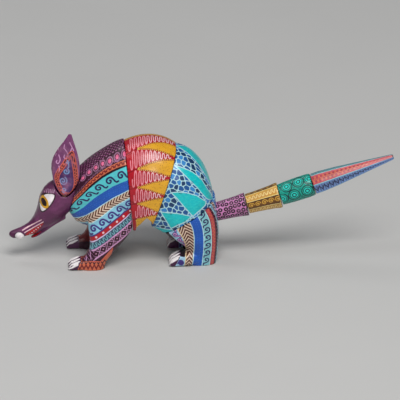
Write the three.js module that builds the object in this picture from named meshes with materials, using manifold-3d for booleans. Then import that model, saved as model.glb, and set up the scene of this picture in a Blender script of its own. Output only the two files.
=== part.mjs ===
// An armadillo on four feet, carved in soft wood and put together from separate blocks: two leg
// blocks, two shell blocks, a head, a pair of plug-in ears and a tail of four lengths, held by
// round pegs.
// Millimetres, +Z up. The animal faces -X, its left side is -Y, and its soles rest on Z = 0.
import * as THREE from "three";
import { mergeVertices } from "three/addons/utils/BufferGeometryUtils.js";
import Module from "manifold-3d";

const wasm = await Module();
wasm.setup();

// ---- driving dimensions ------------------------------------------------------------------
const GAP = 0.3; // air left between neighbouring pieces
const END_ROOM = 0.5; // air left at the blind end of a hole
const BODY_SIDES = 28; // facets round a body block
const LIMB_SIDES = 20; // facets round a leg
const PEG_SIDES = 12; // facets round a peg or its hole
const NECK_PEG_RADIUS = 4;
const SPINE_PEG_RADIUS = 3.5;
const EAR_PEG_RADIUS = 1.8;
const TAIL_PEG_RADIUS = 4;
const TAIL_DOWEL_RADIUS = 3;
const DOWEL_REACH = 7; // of a tail dowel into each neighbour
const FRONT_FOOT_Y = 22; // middle of a front foot from the middle plane
const HIND_FOOT_Y = 18.5;
const TOE_SPREAD = 5.1; // between the middles of neighbouring toes
const ARCH_FRONT = -91; // ends of the hollow under the belly, along X
const ARCH_REAR = -15;
const EAR_TURN = 12; // degrees that an ear turns each way on its peg
const EAR_ROOM = 1.2; // air between a turning ear and the edge of its seat
const RIGHT_EAR_SHARE = 0.87; // the right ear's length, as a share of the left's
const FAR = 400; // larger than the whole figure

// Side-view lines that part the body into blocks, as [x, z] points.
const SHOULDER_CUT = { low: [-54, 27], high: [-60, 95] };
const WAIST_CUT = { low: [-38.5, 35.5], high: [-20, 91] };
const HIP_CUT = { low: [-33, 24.5], high: [9, 50] };

// The left ear grows from inside the head to its tip, and its hollow side looks outwards.
const EAR_ROOT = new THREE.Vector3(-106.8, -8.7, 56.5);
const EAR_TIP = new THREE.Vector3(-102.2, -5.6, 103.6);
const EAR_FACE = new THREE.Vector3(-0.25, -0.97, 0);
const EAR_PEG_IN = -7; // the ear peg's ends, measured along the ear from its root
const EAR_PEG_OUT = 9;

// Side-view joints of the tail, from the rump to the tip, as [x, z].
const TAIL_JOINTS = [
  [10, 35],
  [35.4, 41.4],
  [61.2, 48.5],
  [87, 57.1],
  [149.3, 78.6],
];
const TAIL_PEG_IN = 22; // the tail peg's ends, measured along the tail from the rump
const TAIL_PEG_OUT = 11;

// ---- helpers -----------------------------------------------------------------------------
const paint = (colour, roughness = 0.45) =>
  new THREE.MeshStandardMaterial({ color: colour, roughness, metalness: 0 });

// Turns a closed geometry into a solid, turned outwards, without the flat triangles at poles.
function solid(geometry) {
  const bare = new THREE.BufferGeometry();
  bare.setAttribute("position", geometry.getAttribute("position").clone());
  if (geometry.index) bare.setIndex(geometry.index.clone());
  const merged = mergeVertices(bare, 1e-4);
  const corners = merged.index.array;
  const kept = [];
  for (let i = 0; i < corners.length; i += 3) {
    const [a, b, c] = [corners[i], corners[i + 1], corners[i + 2]];
    if (a !== b && b !== c && c !== a) kept.push(a, b, c);
  }
  const vertProperties = merged.getAttribute("position").array;
  const made = (triangles) => {
    const triVerts = new Uint32Array(triangles);
    return new wasm.Manifold(new wasm.Mesh({ numProp: 3, vertProperties, triVerts }));
  };
  const first = made(kept);
  if (first.volume() > 0) return first;
  const turned = [];
  for (let i = 0; i < kept.length; i += 3) turned.push(kept[i], kept[i + 2], kept[i + 1]);
  return made(turned);
}

// A closed body through rings of points, with a fan over each end.
function skin(rings) {
  const sides = rings[0].length;
  const points = rings.flat();
  const middle = (ring) =>
    ring.reduce((sum, p) => sum.add(p), new THREE.Vector3()).divideScalar(ring.length);
  const first = points.push(middle(rings[0])) - 1;
  const last = points.push(middle(rings.at(-1))) - 1;
  const index = [];
  for (let side = 0; side < sides; side++) {
    const next = (side + 1) % sides;
    for (let row = 0; row + 1 < rings.length; row++) {
      const [a, b] = [row * sides + side, row * sides + next];
      index.push(a, b, a + sides, b, b + sides, a + sides);
    }
    const end = (rings.length - 1) * sides;
    index.push(first, next, side, last, end + side, end + next);
  }
  return new THREE.BufferGeometry().setFromPoints(points).setIndex(index);
}

// Rows of numbers, eased into `count` rows by one smooth curve through each group of three.
function eased(rows, count) {
  const width = rows[0].length;
  const curves = [];
  for (let at = 0; at < width; at += 3) {
    const points = rows.map((row) => new THREE.Vector3(row[at], row[at + 1] ?? 0, row[at + 2] ?? 0));
    curves.push(new THREE.CatmullRomCurve3(points, false, "catmullrom", 0.5));
  }
  return Array.from({ length: count }, (_, i) =>
    curves.flatMap((curve) => curve.getPoint(i / (count - 1)).toArray()),
  );
}

const bent = (value, power) => Math.sign(value) * Math.abs(value) ** (2 / power);

// Ovals hung between a top and a bottom point of the side view.
// rows: [top x, top z, half width, bottom x, bottom z, power], where power 2 is an ellipse.
function hungLoft(rows, count, sides, grow = 0) {
  return skin(
    eased(rows, count).map(([topX, topZ, half, lowX, lowZ, power]) => {
      const rise = new THREE.Vector3((topX - lowX) / 2, 0, (topZ - lowZ) / 2);
      rise.setLength(rise.length() + grow);
      return Array.from({ length: sides }, (_, i) => {
        const turn = (2 * Math.PI * i) / sides;
        const up = bent(Math.cos(turn), power);
        return new THREE.Vector3(
          (topX + lowX) / 2 + rise.x * up,
          (half + grow) * bent(Math.sin(turn), power),
          (topZ + lowZ) / 2 + rise.z * up,
        );
      });
    }),
  );
}

// Level ovals stacked up a limb. rows: [x, y, z, half length, half width, power].
function stackedLoft(rows, count, sides) {
  return skin(
    eased(rows, count).map(([x, y, z, halfLength, halfWidth, power]) =>
      Array.from({ length: sides }, (_, i) => {
        const turn = (2 * Math.PI * i) / sides;
        return new THREE.Vector3(
          x + halfLength * bent(Math.cos(turn), power),
          y + halfWidth * bent(Math.sin(turn), power),
          z,
        );
      }),
    ),
  );
}

// Upright ovals in a row along X, for feet and toes. rows: [x, y, low z, high z, half width].
function rowLoft(rows, sides) {
  return skin(
    rows.map(([x, y, low, high, half]) =>
      Array.from({ length: sides }, (_, i) => {
        const turn = (2 * Math.PI * i) / sides;
        const up = (low + high) / 2 + ((high - low) / 2) * bent(Math.cos(turn), 2.6);
        return new THREE.Vector3(x, y + half * bent(Math.sin(turn), 2.6), up);
      }),
    ),
  );
}

// A round bar from one point to another.
function bar(from, to, radius, sides = PEG_SIDES) {
  const along = to.clone().sub(from);
  const geometry = new THREE.CylinderGeometry(radius, radius, along.length(), sides);
  geometry.applyQuaternion(
    new THREE.Quaternion().setFromUnitVectors(new THREE.Vector3(0, 1, 0), along.normalize()),
  );
  const centre = from.clone().add(to).divideScalar(2);
  return solid(geometry.translate(centre.x, centre.y, centre.z));
}

// A straight round peg's two ends, and the hole that takes it with a little air all round.
const peg = (from, to, radius) => ({ from, to, radius });
const pegSolid = ({ from, to, radius }) => bar(from, to, radius);
function pegHole({ from, to, radius }) {
  const along = to.clone().sub(from).setLength(END_ROOM);
  return bar(from.clone().sub(along), to.clone().add(along), radius + GAP);
}

// A side-view point on the middle plane, or off it by y.
const inSide = ([x, z], y = 0) => new THREE.Vector3(x, y, z);

// Half of space on the tail side (+1) or head side (-1) of a cut, half a gap away from it.
function beyond(cut, way) {
  const up = inSide(cut.high).sub(inSide(cut.low)).normalize();
  const across = new THREE.Vector3(up.z, 0, -up.x).multiplyScalar(way);
  const block = new THREE.BoxGeometry(FAR, FAR, FAR);
  block.applyMatrix4(new THREE.Matrix4().makeBasis(across, new THREE.Vector3(0, way, 0), up));
  const centre = inSide(cut.low).addScaledVector(across, FAR / 2 + GAP / 2);
  return solid(block.translate(centre.x, centre.y, centre.z));
}

const aboveFloor = solid(new THREE.BoxGeometry(FAR, FAR, FAR).translate(0, 0, FAR / 2));

// The same solid on the animal's right side, and the pair of them.
const rightOf = (shape) => shape.transform(new THREE.Matrix4().makeScale(1, -1, 1).elements);
const pair = (shape) => shape.add(rightOf(shape));

const figure = new THREE.Group();
const PEG_WOOD = paint(0xc9a56b, 0.7);

// Puts a finished solid into the figure as one named mesh.
function place(name, shape, material) {
  const found = shape.getMesh();
  const geometry = new THREE.BufferGeometry();
  const step = found.numProp;
  const position = new Float32Array(found.numVert * 3);
  for (let i = 0; i < found.numVert; i++) {
    position.set(found.vertProperties.subarray(i * step, i * step + 3), i * 3);
  }
  geometry.setAttribute("position", new THREE.BufferAttribute(position, 3));
  geometry.setIndex(new THREE.BufferAttribute(found.triVerts, 1));
  geometry.computeVertexNormals();
  const mesh = new THREE.Mesh(geometry, material);
  mesh.name = name;
  figure.add(mesh);
}

// ---- pegs --------------------------------------------------------------------------------
const earLine = EAR_TIP.clone().sub(EAR_ROOT).normalize();
const onEar = (distance) => EAR_ROOT.clone().addScaledVector(earLine, distance);

const tailPoints = TAIL_JOINTS.map((point) => inSide(point));
const tailWay = tailPoints.slice(1).map((to, i) => to.clone().sub(tailPoints[i]).normalize());
const onTail = (joint, distance) =>
  tailPoints[joint].clone().addScaledVector(tailWay[Math.max(joint - 1, 0)], distance);

const neckPeg = peg(inSide([-106, 52]), inSide([-78, 61]), NECK_PEG_RADIUS);
const earPeg = peg(onEar(EAR_PEG_IN), onEar(EAR_PEG_OUT), EAR_PEG_RADIUS);
const tailPeg = peg(onTail(0, -TAIL_PEG_IN), onTail(0, TAIL_PEG_OUT), TAIL_PEG_RADIUS);
const bodyPegs = {
  neck_peg: neckPeg,
  upper_spine_peg: peg(inSide([-76, 77]), inSide([-8, 77]), SPINE_PEG_RADIUS),
  lower_spine_peg: peg(inSide([-74, 52]), inSide([-16, 52]), SPINE_PEG_RADIUS),
  left_rump_peg: peg(inSide([-7.5, 29.6], -12), inSide([-16.5, 45.2], -12), SPINE_PEG_RADIUS),
  right_rump_peg: peg(inSide([-7.5, 29.6], 12), inSide([-16.5, 45.2], 12), SPINE_PEG_RADIUS),
};
const tailDowels = [1, 2, 3].map((joint) =>
  peg(onTail(joint, -DOWEL_REACH), onTail(joint, DOWEL_REACH), TAIL_DOWEL_RADIUS),
);

for (const [name, each] of Object.entries(bodyPegs)) place(name, pegSolid(each), PEG_WOOD);
tailDowels.forEach((each, i) => place(`tail_dowel_${i + 1}`, pegSolid(each), PEG_WOOD));
place("left_ear_peg", pegSolid(earPeg), PEG_WOOD);
place("right_ear_peg", rightOf(pegSolid(earPeg)), PEG_WOOD);
place("tail_peg", pegSolid(tailPeg), PEG_WOOD);

const joined = (shapes) => shapes.reduce((sum, shape) => sum.add(shape));
const bodyHoles = joined(Object.values(bodyPegs).map(pegHole));
const tailHoles = joined([tailPeg, ...tailDowels].map(pegHole));

// ---- ears --------------------------------------------------------------------------------
// A leaf that curls towards its hollow side, turned about its peg by some degrees, and as long
// as its share of the left ear.
function earLeaf(sides, rows, grow = 0, turned = 0, share = 1) {
  const out = EAR_FACE.clone().addScaledVector(earLine, -EAR_FACE.dot(earLine)).normalize();
  out.applyAxisAngle(earLine, THREE.MathUtils.degToRad(turned));
  const across = new THREE.Vector3().crossVectors(earLine, out);
  // [distance along the ear, half width, half thickness, curl of the rim]
  const stations = [
    [-0.6 - grow, 2.8, 3.2, 0],
    [1.5, 5, 4.4, 0],
    [5.5, 7.8, 4.3, 0.3],
    [11, 10.2, 3.6, 1],
    [18, 11.2, 2.6, 2.2],
    [25, 10.6, 2.1, 2.8],
    [31, 9, 1.9, 2.4],
    [37, 6.6, 1.7, 1.6],
    [43, 3.6, 1.4, 0.7],
    [48.4, 1.2, 0.8, 0.1],
  ];
  const rings = eased(stations, rows).map(([distance, half, thick, curl]) =>
    Array.from({ length: sides }, (_, i) => {
      const turn = (2 * Math.PI * i) / sides;
      const wide = (half + grow) * Math.cos(turn);
      const lift = curl * Math.cos(turn) ** 2 + (thick + grow) * bent(Math.sin(turn), 2.6);
      return onEar(distance * share).addScaledVector(across, wide).addScaledVector(out, lift);
    }),
  );
  return solid(skin(rings));
}

const ear = (share) => earLeaf(16, 13, 0, 0, share).subtract(pegHole(earPeg));
place("left_ear", ear(1), paint(0x7c3a72));
place("right_ear", rightOf(ear(RIGHT_EAR_SHARE)), paint(0x7c3a72));

// The seat clears an ear as it turns from stop to stop.
const earSweep = [-1, -0.5, 0, 0.5, 1].map((share) => share * (EAR_TURN + 1));
const earSeat = joined(earSweep.map((turned) => earLeaf(12, 13, EAR_ROOM, turned)));
const earSeats = pair(earSeat);

// ---- head --------------------------------------------------------------------------------
function skull(grow = 0) {
  const rows = [
    [-90, 71, 11, -96, 45, 2.2],
    [-98, 69.5, 12.2, -101, 41, 2.2],
    [-107, 67, 13.4, -107, 35, 2.2],
    [-116, 63.5, 13.8, -111, 31, 2.2],
    [-122.5, 58, 12.6, -114.5, 28.5, 2.2],
    [-126.2, 50, 10.8, -118.5, 26.5, 2.2],
    [-128, 41.5, 8.8, -122, 25, 2.2],
    [-131, 34, 7, -126.5, 22.2, 2.3],
    [-135, 28.8, 5.8, -131, 20.6, 2.4],
    [-140, 25.6, 5, -137, 18.8, 2.4],
    [-145, 23.6, 4.4, -142.5, 17.4, 2.3],
    [-148.6, 22.2, 3.4, -147, 17, 2.2],
    [-150, 20.6, 1.4, -149.6, 18.8, 2],
  ];
  return solid(hungLoft(rows, 22, 22, grow));
}

// The lower jaw hangs open under the snout and runs back into the throat.
function lowerJaw() {
  const rows = [
    [-106, 41, 8, -106, 33, 2.2],
    [-114, 34, 7.6, -112.5, 29.6, 2.2],
    [-120, 28, 5.8, -118.4, 25.2, 2.2],
    [-126, 22.6, 4.4, -125, 20.2, 2.2],
    [-131, 19, 3, -130.4, 17.2, 2.2],
    [-132.8, 17.6, 1.2, -132.6, 16.9, 2],
  ];
  return solid(hungLoft(rows, 10, 14));
}

const fang = new THREE.SphereGeometry(1, 10, 7).scale(3.3, 2, 2.8).translate(-141.8, -4, 19.8);
const head = skull()
  .add(lowerJaw())
  .add(pair(solid(fang)))
  .subtract(earSeats)
  .subtract(pair(pegHole(earPeg)))
  .subtract(pegHole(neckPeg));
place("head", head, paint(0x6b2d66));

// ---- feet --------------------------------------------------------------------------------
// Three toes in a fan from the root of a foot to their tips.
function toes(rootX, tipX, y, high) {
  const long = tipX - rootX;
  const fan = [-1, 0, 1].map((toe) =>
    rowLoft(
      [
        [rootX, y + toe * TOE_SPREAD * 0.9, 0, high, 2.9],
        [rootX + long * 0.5, y + toe * TOE_SPREAD, 0, high * 0.84, 2.8],
        [rootX + long * 0.85, y + toe * TOE_SPREAD * 1.06, 0, high * 0.56, 2.3],
        [tipX, y + toe * TOE_SPREAD * 1.08, 0.4, high * 0.24, 1],
      ],
      8,
    ),
  );
  return joined(fan.map(solid));
}

// ---- forequarters ------------------------------------------------------------------------
function chest() {
  const rows = [
    [-95.5, 73.6, 14.4, -103.6, 39.5, 2.3],
    [-88, 80.6, 19.2, -97, 31, 2.3],
    [-80, 86.2, 22.8, -86, 27.5, 2.3],
    [-70, 92.2, 25.6, -71, 28.5, 2.3],
    [-62, 95.6, 27, -58, 30, 2.3],
    [-52, 97, 27, -46, 31, 2.3],
  ];
  return solid(hungLoft(rows, 12, BODY_SIDES));
}

function foreleg() {
  const rows = [
    [-71, -12, 63, 9, 9, 2.2],
    [-70.5, -15, 47, 17, 11.2, 2.3],
    [-71.2, -17.2, 35, 18, 11, 2.3],
    [-73, -19.6, 26, 15.2, 9.8, 2.3],
    [-76.6, -21.2, 17.6, 11.4, 8.2, 2.3],
    [-81, -22, 10.8, 9.8, 7.4, 2.3],
    [-85.5, -22, 5.2, 10.6, 7.8, 2.4],
    [-86.5, -22, 0, 10.2, 7.8, 2.4],
  ];
  return solid(stackedLoft(rows, 12, LIMB_SIDES)).add(toes(-88, -104.6, -FRONT_FOOT_Y, 8.4));
}

const forequarters = chest()
  .add(pair(foreleg()))
  .intersect(beyond(SHOULDER_CUT, -1))
  .intersect(aboveFloor)
  .subtract(skull(GAP + 0.1))
  .subtract(earSeats)
  .subtract(bodyHoles);
place("forequarters", forequarters, paint(0x3b1a38));

// ---- shells ------------------------------------------------------------------------------
// The hollow under the belly stops short of the tail's peg.
const bellyArch = solid(
  new THREE.CylinderGeometry(19, 19, ARCH_REAR - ARCH_FRONT, 24)
    .scale(1, 1, 0.7)
    .rotateZ(Math.PI / 2)
    .translate((ARCH_FRONT + ARCH_REAR) / 2, 0, 21),
);

// A cut from side to side, by its outline in the side view.
function sideCut(corners) {
  const outline = new THREE.Shape(corners.map(([x, z]) => new THREE.Vector2(x, z)));
  const wedge = new THREE.ExtrudeGeometry(outline, { depth: FAR, bevelEnabled: false });
  return solid(wedge.rotateX(Math.PI / 2).translate(0, FAR / 2, 0));
}

// A barrel slice with an arched underside, whose lower edge ends in points.
function middleShell() {
  const rows = [
    [-64, 92.6, 26, -58, 24, 2.4],
    [-58, 95.8, 27.3, -54.4, 22.5, 2.4],
    [-50, 98.4, 28.3, -50, 22, 2.4],
    [-40, 99.4, 28.8, -46.5, 22, 2.4],
    [-30, 97.6, 28.8, -42, 23, 2.4],
    [-22, 93.6, 28.2, -38.6, 24.5, 2.4],
    [-14, 87.6, 27, -34, 26, 2.4],
  ];
  return solid(hungLoft(rows, 13, BODY_SIDES))
    .intersect(beyond(SHOULDER_CUT, 1))
    .intersect(beyond(WAIST_CUT, -1))
    .subtract(bellyArch)
    .subtract(sideCut([[-54, 15], [-51.3, 32], [-43.7, 41.8], [-39.6, 36.8], [-34, 15]]));
}
place("middle_shell", middleShell().subtract(bodyHoles), paint(0xd99a1e));

// The last slice, rounded down over the rump.
function rearShell() {
  const rows = [
    [-25, 91.8, 26.6, -42, 28, 2.4],
    [-17.5, 91, 27.8, -39, 26, 2.4],
    [-8.6, 86.8, 28.8, -36, 24, 2.4],
    [0, 77.6, 29, -34.6, 23, 2.4],
    [5, 67.6, 28.8, -34, 22.6, 2.4],
    [8, 57, 28.2, -33.6, 22.4, 2.4],
    [9.4, 47, 27, -33, 22.2, 2.4],
  ];
  return solid(hungLoft(rows, 15, BODY_SIDES))
    .intersect(beyond(WAIST_CUT, 1))
    .intersect(beyond(HIP_CUT, -1))
    .subtract(bellyArch);
}
place("rear_shell", rearShell().subtract(bodyHoles), paint(0x24a7ad));

// ---- hindquarters ------------------------------------------------------------------------
function rump() {
  const rows = [
    [-8, 0, 63, 16, 22, 2.2],
    [-9, 0, 49, 19.6, 25, 2.3],
    [-8.6, 0, 37, 20.6, 26, 2.3],
    [-7, 0, 27, 18.8, 24, 2.3],
    [-5, 0, 19, 15, 18, 2.2],
    [-4, 0, 14, 10, 11, 2.2],
  ];
  return solid(stackedLoft(rows, 10, BODY_SIDES));
}

function hindLeg() {
  const rows = [
    [-10, -14, 53, 15, 12, 2.4],
    [-9.4, -15.6, 41, 20, 12.4, 2.5],
    [-9.8, -16.4, 31, 22.2, 12.2, 2.5],
    [-6.8, -16.4, 23, 19.4, 11.8, 2.5],
    [-1.4, -15.6, 15.6, 13.6, 11.2, 2.4],
    [-0.4, -15, 8, 12.2, 10.2, 2.3],
    [-1.6, -14.6, 0, 12.4, 9.6, 2.3],
  ];
  const foot = [
    [2, -HIND_FOOT_Y + 3, 0, 12, 8.4],
    [-6, -HIND_FOOT_Y + 1.5, 0, 11.8, 9],
    [-13, -HIND_FOOT_Y, 0, 10.6, 8.8],
    [-17, -HIND_FOOT_Y, 0, 8.6, 7.6],
  ];
  return solid(stackedLoft(rows, 11, LIMB_SIDES))
    .add(solid(rowLoft(foot, LIMB_SIDES)))
    .add(toes(-11, -26, -HIND_FOOT_Y, 10.4));
}

// ---- tail --------------------------------------------------------------------------------
const TAIL_SIDES = 24;
const TAIL_FLATS = 8;
const TAIL_ROOT_RADIUS = 7.2;
const SOCKET_MOUTH = 0.5; // air round the tail's root in the rump

// Each length of tail: [share of its length, radius], and how far its eight flats stand out.
const TAIL_LENGTHS = {
  tail_segment_1: {
    radii: [[0, TAIL_ROOT_RADIUS], [0.25, 7.5], [0.5, 7.8], [0.75, 8.3], [0.92, 9], [1, 9.1]],
    flats: 0,
    colour: 0xb4559f,
  },
  tail_segment_2: {
    radii: [[0, 7.7], [0.25, 8], [0.5, 8.5], [0.75, 9.1], [0.94, 9.9], [1, 9.8]],
    flats: 0.03,
    colour: 0xd9a93f,
  },
  tail_segment_3: {
    radii: [[0, 8.2], [0.2, 8.7], [0.5, 9], [0.8, 9.1], [0.94, 8.9], [1, 8.3]],
    flats: 0,
    colour: 0x0f8a78,
  },
  tail_tip: {
    radii: [[0, 8.3], [0.1, 8.3], [0.3, 7.3], [0.55, 5.5], [0.8, 3.6], [0.97, 2.4], [1, 2]],
    flats: 0.03,
    colour: 0xc44a56,
  },
};

function tailLength(from, to, radii, flats) {
  const along = to.clone().sub(from);
  const up = along.clone().cross(new THREE.Vector3(0, 1, 0)).negate().normalize();
  const rings = radii.map(([share, radius]) =>
    Array.from({ length: TAIL_SIDES }, (_, i) => {
      const turn = (2 * Math.PI * i) / TAIL_SIDES;
      const reach = radius * (1 + flats * Math.cos(TAIL_FLATS * turn));
      return from
        .clone()
        .addScaledVector(along, share)
        .addScaledVector(up, reach * Math.cos(turn))
        .add(new THREE.Vector3(0, reach * Math.sin(turn), 0));
    }),
  );
  return solid(skin(rings));
}

Object.entries(TAIL_LENGTHS).forEach(([name, { radii, flats, colour }], i) => {
  const last = i === tailWay.length - 1;
  const from = tailPoints[i].clone().addScaledVector(tailWay[i], i === 0 ? 0 : GAP);
  const to = tailPoints[i + 1].clone().addScaledVector(tailWay[i], last ? 0 : -GAP);
  place(name, tailLength(from, to, radii, flats).subtract(tailHoles), paint(colour));
});

const tailMouth = bar(
  onTail(0, -GAP),
  onTail(0, TAIL_PEG_OUT),
  TAIL_ROOT_RADIUS + SOCKET_MOUTH,
  TAIL_SIDES,
);
const hindquarters = rump()
  .add(pair(hindLeg()))
  .intersect(beyond(HIP_CUT, 1))
  .intersect(aboveFloor)
  .subtract(bellyArch)
  .subtract(tailMouth)
  .subtract(pegHole(tailPeg))
  .subtract(bodyHoles);
place("hindquarters", hindquarters, paint(0x2a6db5));

export default figure;
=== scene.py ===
"""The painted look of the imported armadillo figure: carved skins, brushwork, light and camera.

Lengths in the brushwork are millimetres in the model's frame: x runs to the tail and z up,
and both flanks carry the same painting. The girth of a place is its distance round the body
from the crest line.
"""

import math

import bmesh
import bpy
import numpy as np
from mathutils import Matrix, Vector
from mathutils.kdtree import KDTree


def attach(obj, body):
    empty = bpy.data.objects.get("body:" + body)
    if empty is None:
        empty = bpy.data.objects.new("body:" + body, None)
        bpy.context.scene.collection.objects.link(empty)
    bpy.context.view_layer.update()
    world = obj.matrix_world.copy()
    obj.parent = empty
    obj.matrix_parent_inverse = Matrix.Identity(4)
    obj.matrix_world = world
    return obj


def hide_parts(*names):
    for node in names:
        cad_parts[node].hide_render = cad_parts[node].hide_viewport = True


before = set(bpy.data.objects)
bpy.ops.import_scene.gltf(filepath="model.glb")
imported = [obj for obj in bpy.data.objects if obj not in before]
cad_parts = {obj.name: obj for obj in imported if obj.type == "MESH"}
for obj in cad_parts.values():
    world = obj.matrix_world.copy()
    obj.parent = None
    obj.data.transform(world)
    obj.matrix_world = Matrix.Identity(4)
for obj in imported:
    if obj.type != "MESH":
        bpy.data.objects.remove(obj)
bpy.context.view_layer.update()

MM = 0.001
FAR_OFF = 50.0  # mm, further than any stroke reaches
SKIN_VOXEL = 0.46  # mm between the vertices of a carved skin
FINE_VOXEL = 0.36  # the same for an ear or a length of tail
CRISP_ANGLE = 50  # degrees that an edge turns by to stay crisp
CRISP_RIM = 0.3  # mm beside a crisp edge that smoothing leaves alone
CRISP_FADE = 2.5  # mm from there to full smoothing
EASE, GIVE_BACK = 0.6, -0.62  # shares of a smoothing pass, and of what follows it to keep the size
RHO = 30.0  # mm, the round body's mean radius, which turns an angle into girth
MIDDLE_LINE_X = (-104, -96, -88, -70, -40, -20, -5, 9)  # places along the body, and the
MIDDLE_LINE_Z = (50, 54, 57, 60, 61, 60, 56, 50)  # heights that its girth is measured round
SEED_GRID = 64  # scattered seeds repeat after this many


# ---- colours -----------------------------------------------------------------------------
def linear(code):
    """Six hex digits as linear red, green and blue."""
    parts = [int(code[i : i + 2], 16) / 255 for i in (0, 2, 4)]
    return np.array([p / 12.92 if p <= 0.04045 else ((p + 0.055) / 1.055) ** 2.4 for p in parts])


INK_CODES = {
    "plum": "622853",
    "plum_dark": "4A1C44",
    "plum_ear": "7C3C70",
    "plum_blue": "4C2A66",
    "plum_light": "8A4478",
    "maroon": "3A1228",
    "maroon_deep": "240A1A",
    "mauve": "A0688C",
    "mauve_pale": "C8A0BC",
    "pink_dot": "E86A98",
    "pink": "E8A0C8",
    "pink_pale": "F6CCD2",
    "rose": "EE8E9C",
    "salmon": "D26C4A",
    "coral": "D8604E",
    "coral_red": "BE4454",
    "brick": "7A1E20",
    "turquoise": "58CCD4",
    "navy": "28285E",
    "lilac_pale": "D6C8EA",
    "royal": "1458BC",
    "royal_light": "3A74CC",
    "cream": "EACFB8",
    "cream_warm": "E8C88A",
    "brown": "5A2C20",
    "brown_dark": "40200E",
    "sky": "8CCCE6",
    "violet": "3C2C82",
    "red": "B80C22",
    "red_deep": "8E0A1A",
    "steel": "34526A",
    "aqua": "7CB8C4",
    "lattice": "DCA0D0",
    "orchid": "D484BE",
    "yellow": "ECAE28",
    "yellow_light": "F4CC60",
    "tan": "C88844",
    "teal": "04C8D0",
    "teal_light": "30DAD2",
    "cell": "1A589C",
    "cell_light": "3A8CD2",
    "cell_dark": "163C68",
    "ice": "BEEAF2",
    "hind_blue": "A6CEEA",
    "hind_teal": "86C6CE",
    "gold": "CE9C3C",
    "gold_light": "F0D488",
    "bronze": "6A4212",
    "jade": "007E72",
    "jade_light": "00AA96",
    "jade_pale": "20DCCC",
    "jade_dark": "003E40",
    "periwinkle": "7290CA",
    "slate": "5C8C98",
    "white": "F4EEF0",
    "iris": "D89E18",
    "iris_edge": "5A3A10",
    "pupil": "1E0C08",
    "lip_red": "B81418",
    "ear_blue": "86A6D8",
    "ear_blue_dark": "3C5486",
}
INK = {name: linear(code) for name, code in INK_CODES.items()}


# ---- lines and shapes on a painted surface ---------------------------------------------------
def wrapped(value, pitch):
    """The value brought into the one repeat that is centred on zero."""
    return value - pitch * np.round(value / pitch)


def flowing(points, steps=8, closed=False):
    """A smooth line of points through the given ones."""
    p = np.asarray(points, float)
    if closed:
        padded = np.vstack([p[-1], p, p[0], p[1]])
    else:
        padded = np.vstack([2 * p[0] - p[1], p, 2 * p[-1] - p[-2]])
    line = []
    for a, b, c, d in zip(padded, padded[1:], padded[2:], padded[3:]):
        for t in np.arange(steps) / steps:
            turn = (2 * a - 5 * b + 4 * c - d) * t * t + (3 * b - a - 3 * c + d) * t**3
            line.append(0.5 * (2 * b + (c - a) * t + turn))
    if not closed:
        line.append(p[-1])
    return np.array(line)


def off_path(u, v, path):
    """The distance of each place from a line of points."""
    best = np.full(np.shape(u), FAR_OFF)
    for (a, b), (c, d) in zip(path[:-1], path[1:]):
        run, rise = c - a, d - b
        length = run * run + rise * rise + 1e-9
        share = np.clip(((u - a) * run + (v - b) * rise) / length, 0, 1)
        best = np.minimum(best, np.hypot(u - a - share * run, v - b - share * rise))
    return best


def in_shape(u, v, corners):
    """How far inside a closed outline each place is, and negative outside it."""
    corners = [tuple(c) for c in corners]
    ring = corners + corners[:1]
    odd = np.zeros(np.shape(u), bool)
    for (a, b), (c, d) in zip(ring[:-1], ring[1:]):
        if b == d:
            continue
        odd ^= ((b > v) != (d > v)) & (u < a + (v - b) * (c - a) / (d - b))
    edge = off_path(u, v, ring)
    return np.where(odd, edge, -edge)


def repeats(u, v, path, pitch, phase=0.0):
    """The distance from a path that is repeated along u."""
    cell = wrapped(u - phase, pitch)
    return np.minimum.reduce([off_path(cell + step, v, path) for step in (-pitch, 0, pitch)])


def dots(u, v, pitch, radius, phase=0.0):
    return radius - np.hypot(wrapped(u - phase, pitch), v)


def chevrons(u, v, pitch, width, lean):
    return width / 2 - np.abs(wrapped(u + lean * np.abs(v), pitch)) / math.hypot(1, lean)


def zigzag(u, v, pitch, height, width, phase=0.0):
    middle = height * (4 * np.abs(wrapped(u - phase, pitch)) / pitch - 1)
    return width / 2 - np.abs(v - middle) / math.hypot(1, 4 * height / pitch)


def lattice(u, v, pitch, half, width):
    """Crossed lines between two edges, `half` either side of the middle."""
    one = np.abs(wrapped(u + v * pitch / (2 * half), pitch))
    two = np.abs(wrapped(u - v * pitch / (2 * half), pitch))
    return width / 2 - np.minimum(one, two) / math.hypot(1, pitch / (2 * half))


def curl(radius, turns, start=180.0, core=0.16):
    """A spiral from its rim to its core, round (0, 0)."""
    share = np.linspace(0, 1, 26)
    angle = np.radians(start - 360 * turns * share)
    reach = radius * (1 - (1 - core) * share)
    return np.column_stack([reach * np.cos(angle), reach * np.sin(angle)])


def wave_scroll(radius, pitch, turns):
    """One curl of a running scroll, and the stem that climbs into it."""
    stem = [(-pitch * 0.66, -radius * 0.95), (-pitch * 0.5, -radius * 1.02)]
    stem += [(-radius * 1.18, -radius * 0.62)]
    return flowing(stem + list(curl(radius, turns)[::3]), 3)


def meander_path(first, last, pitch, middle, reach, bulge=0.3):
    """A looping line from `first` to `last` along u, as tall as reach(u) says."""
    turns = int((last - first) / pitch * 16)
    t = np.arange(turns) * 2 * math.pi / 16
    u = first + pitch * t / (2 * math.pi) - bulge * np.sin(2 * t)
    return np.column_stack([u, middle(u) + reach(u) * np.sin(t)])


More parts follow.
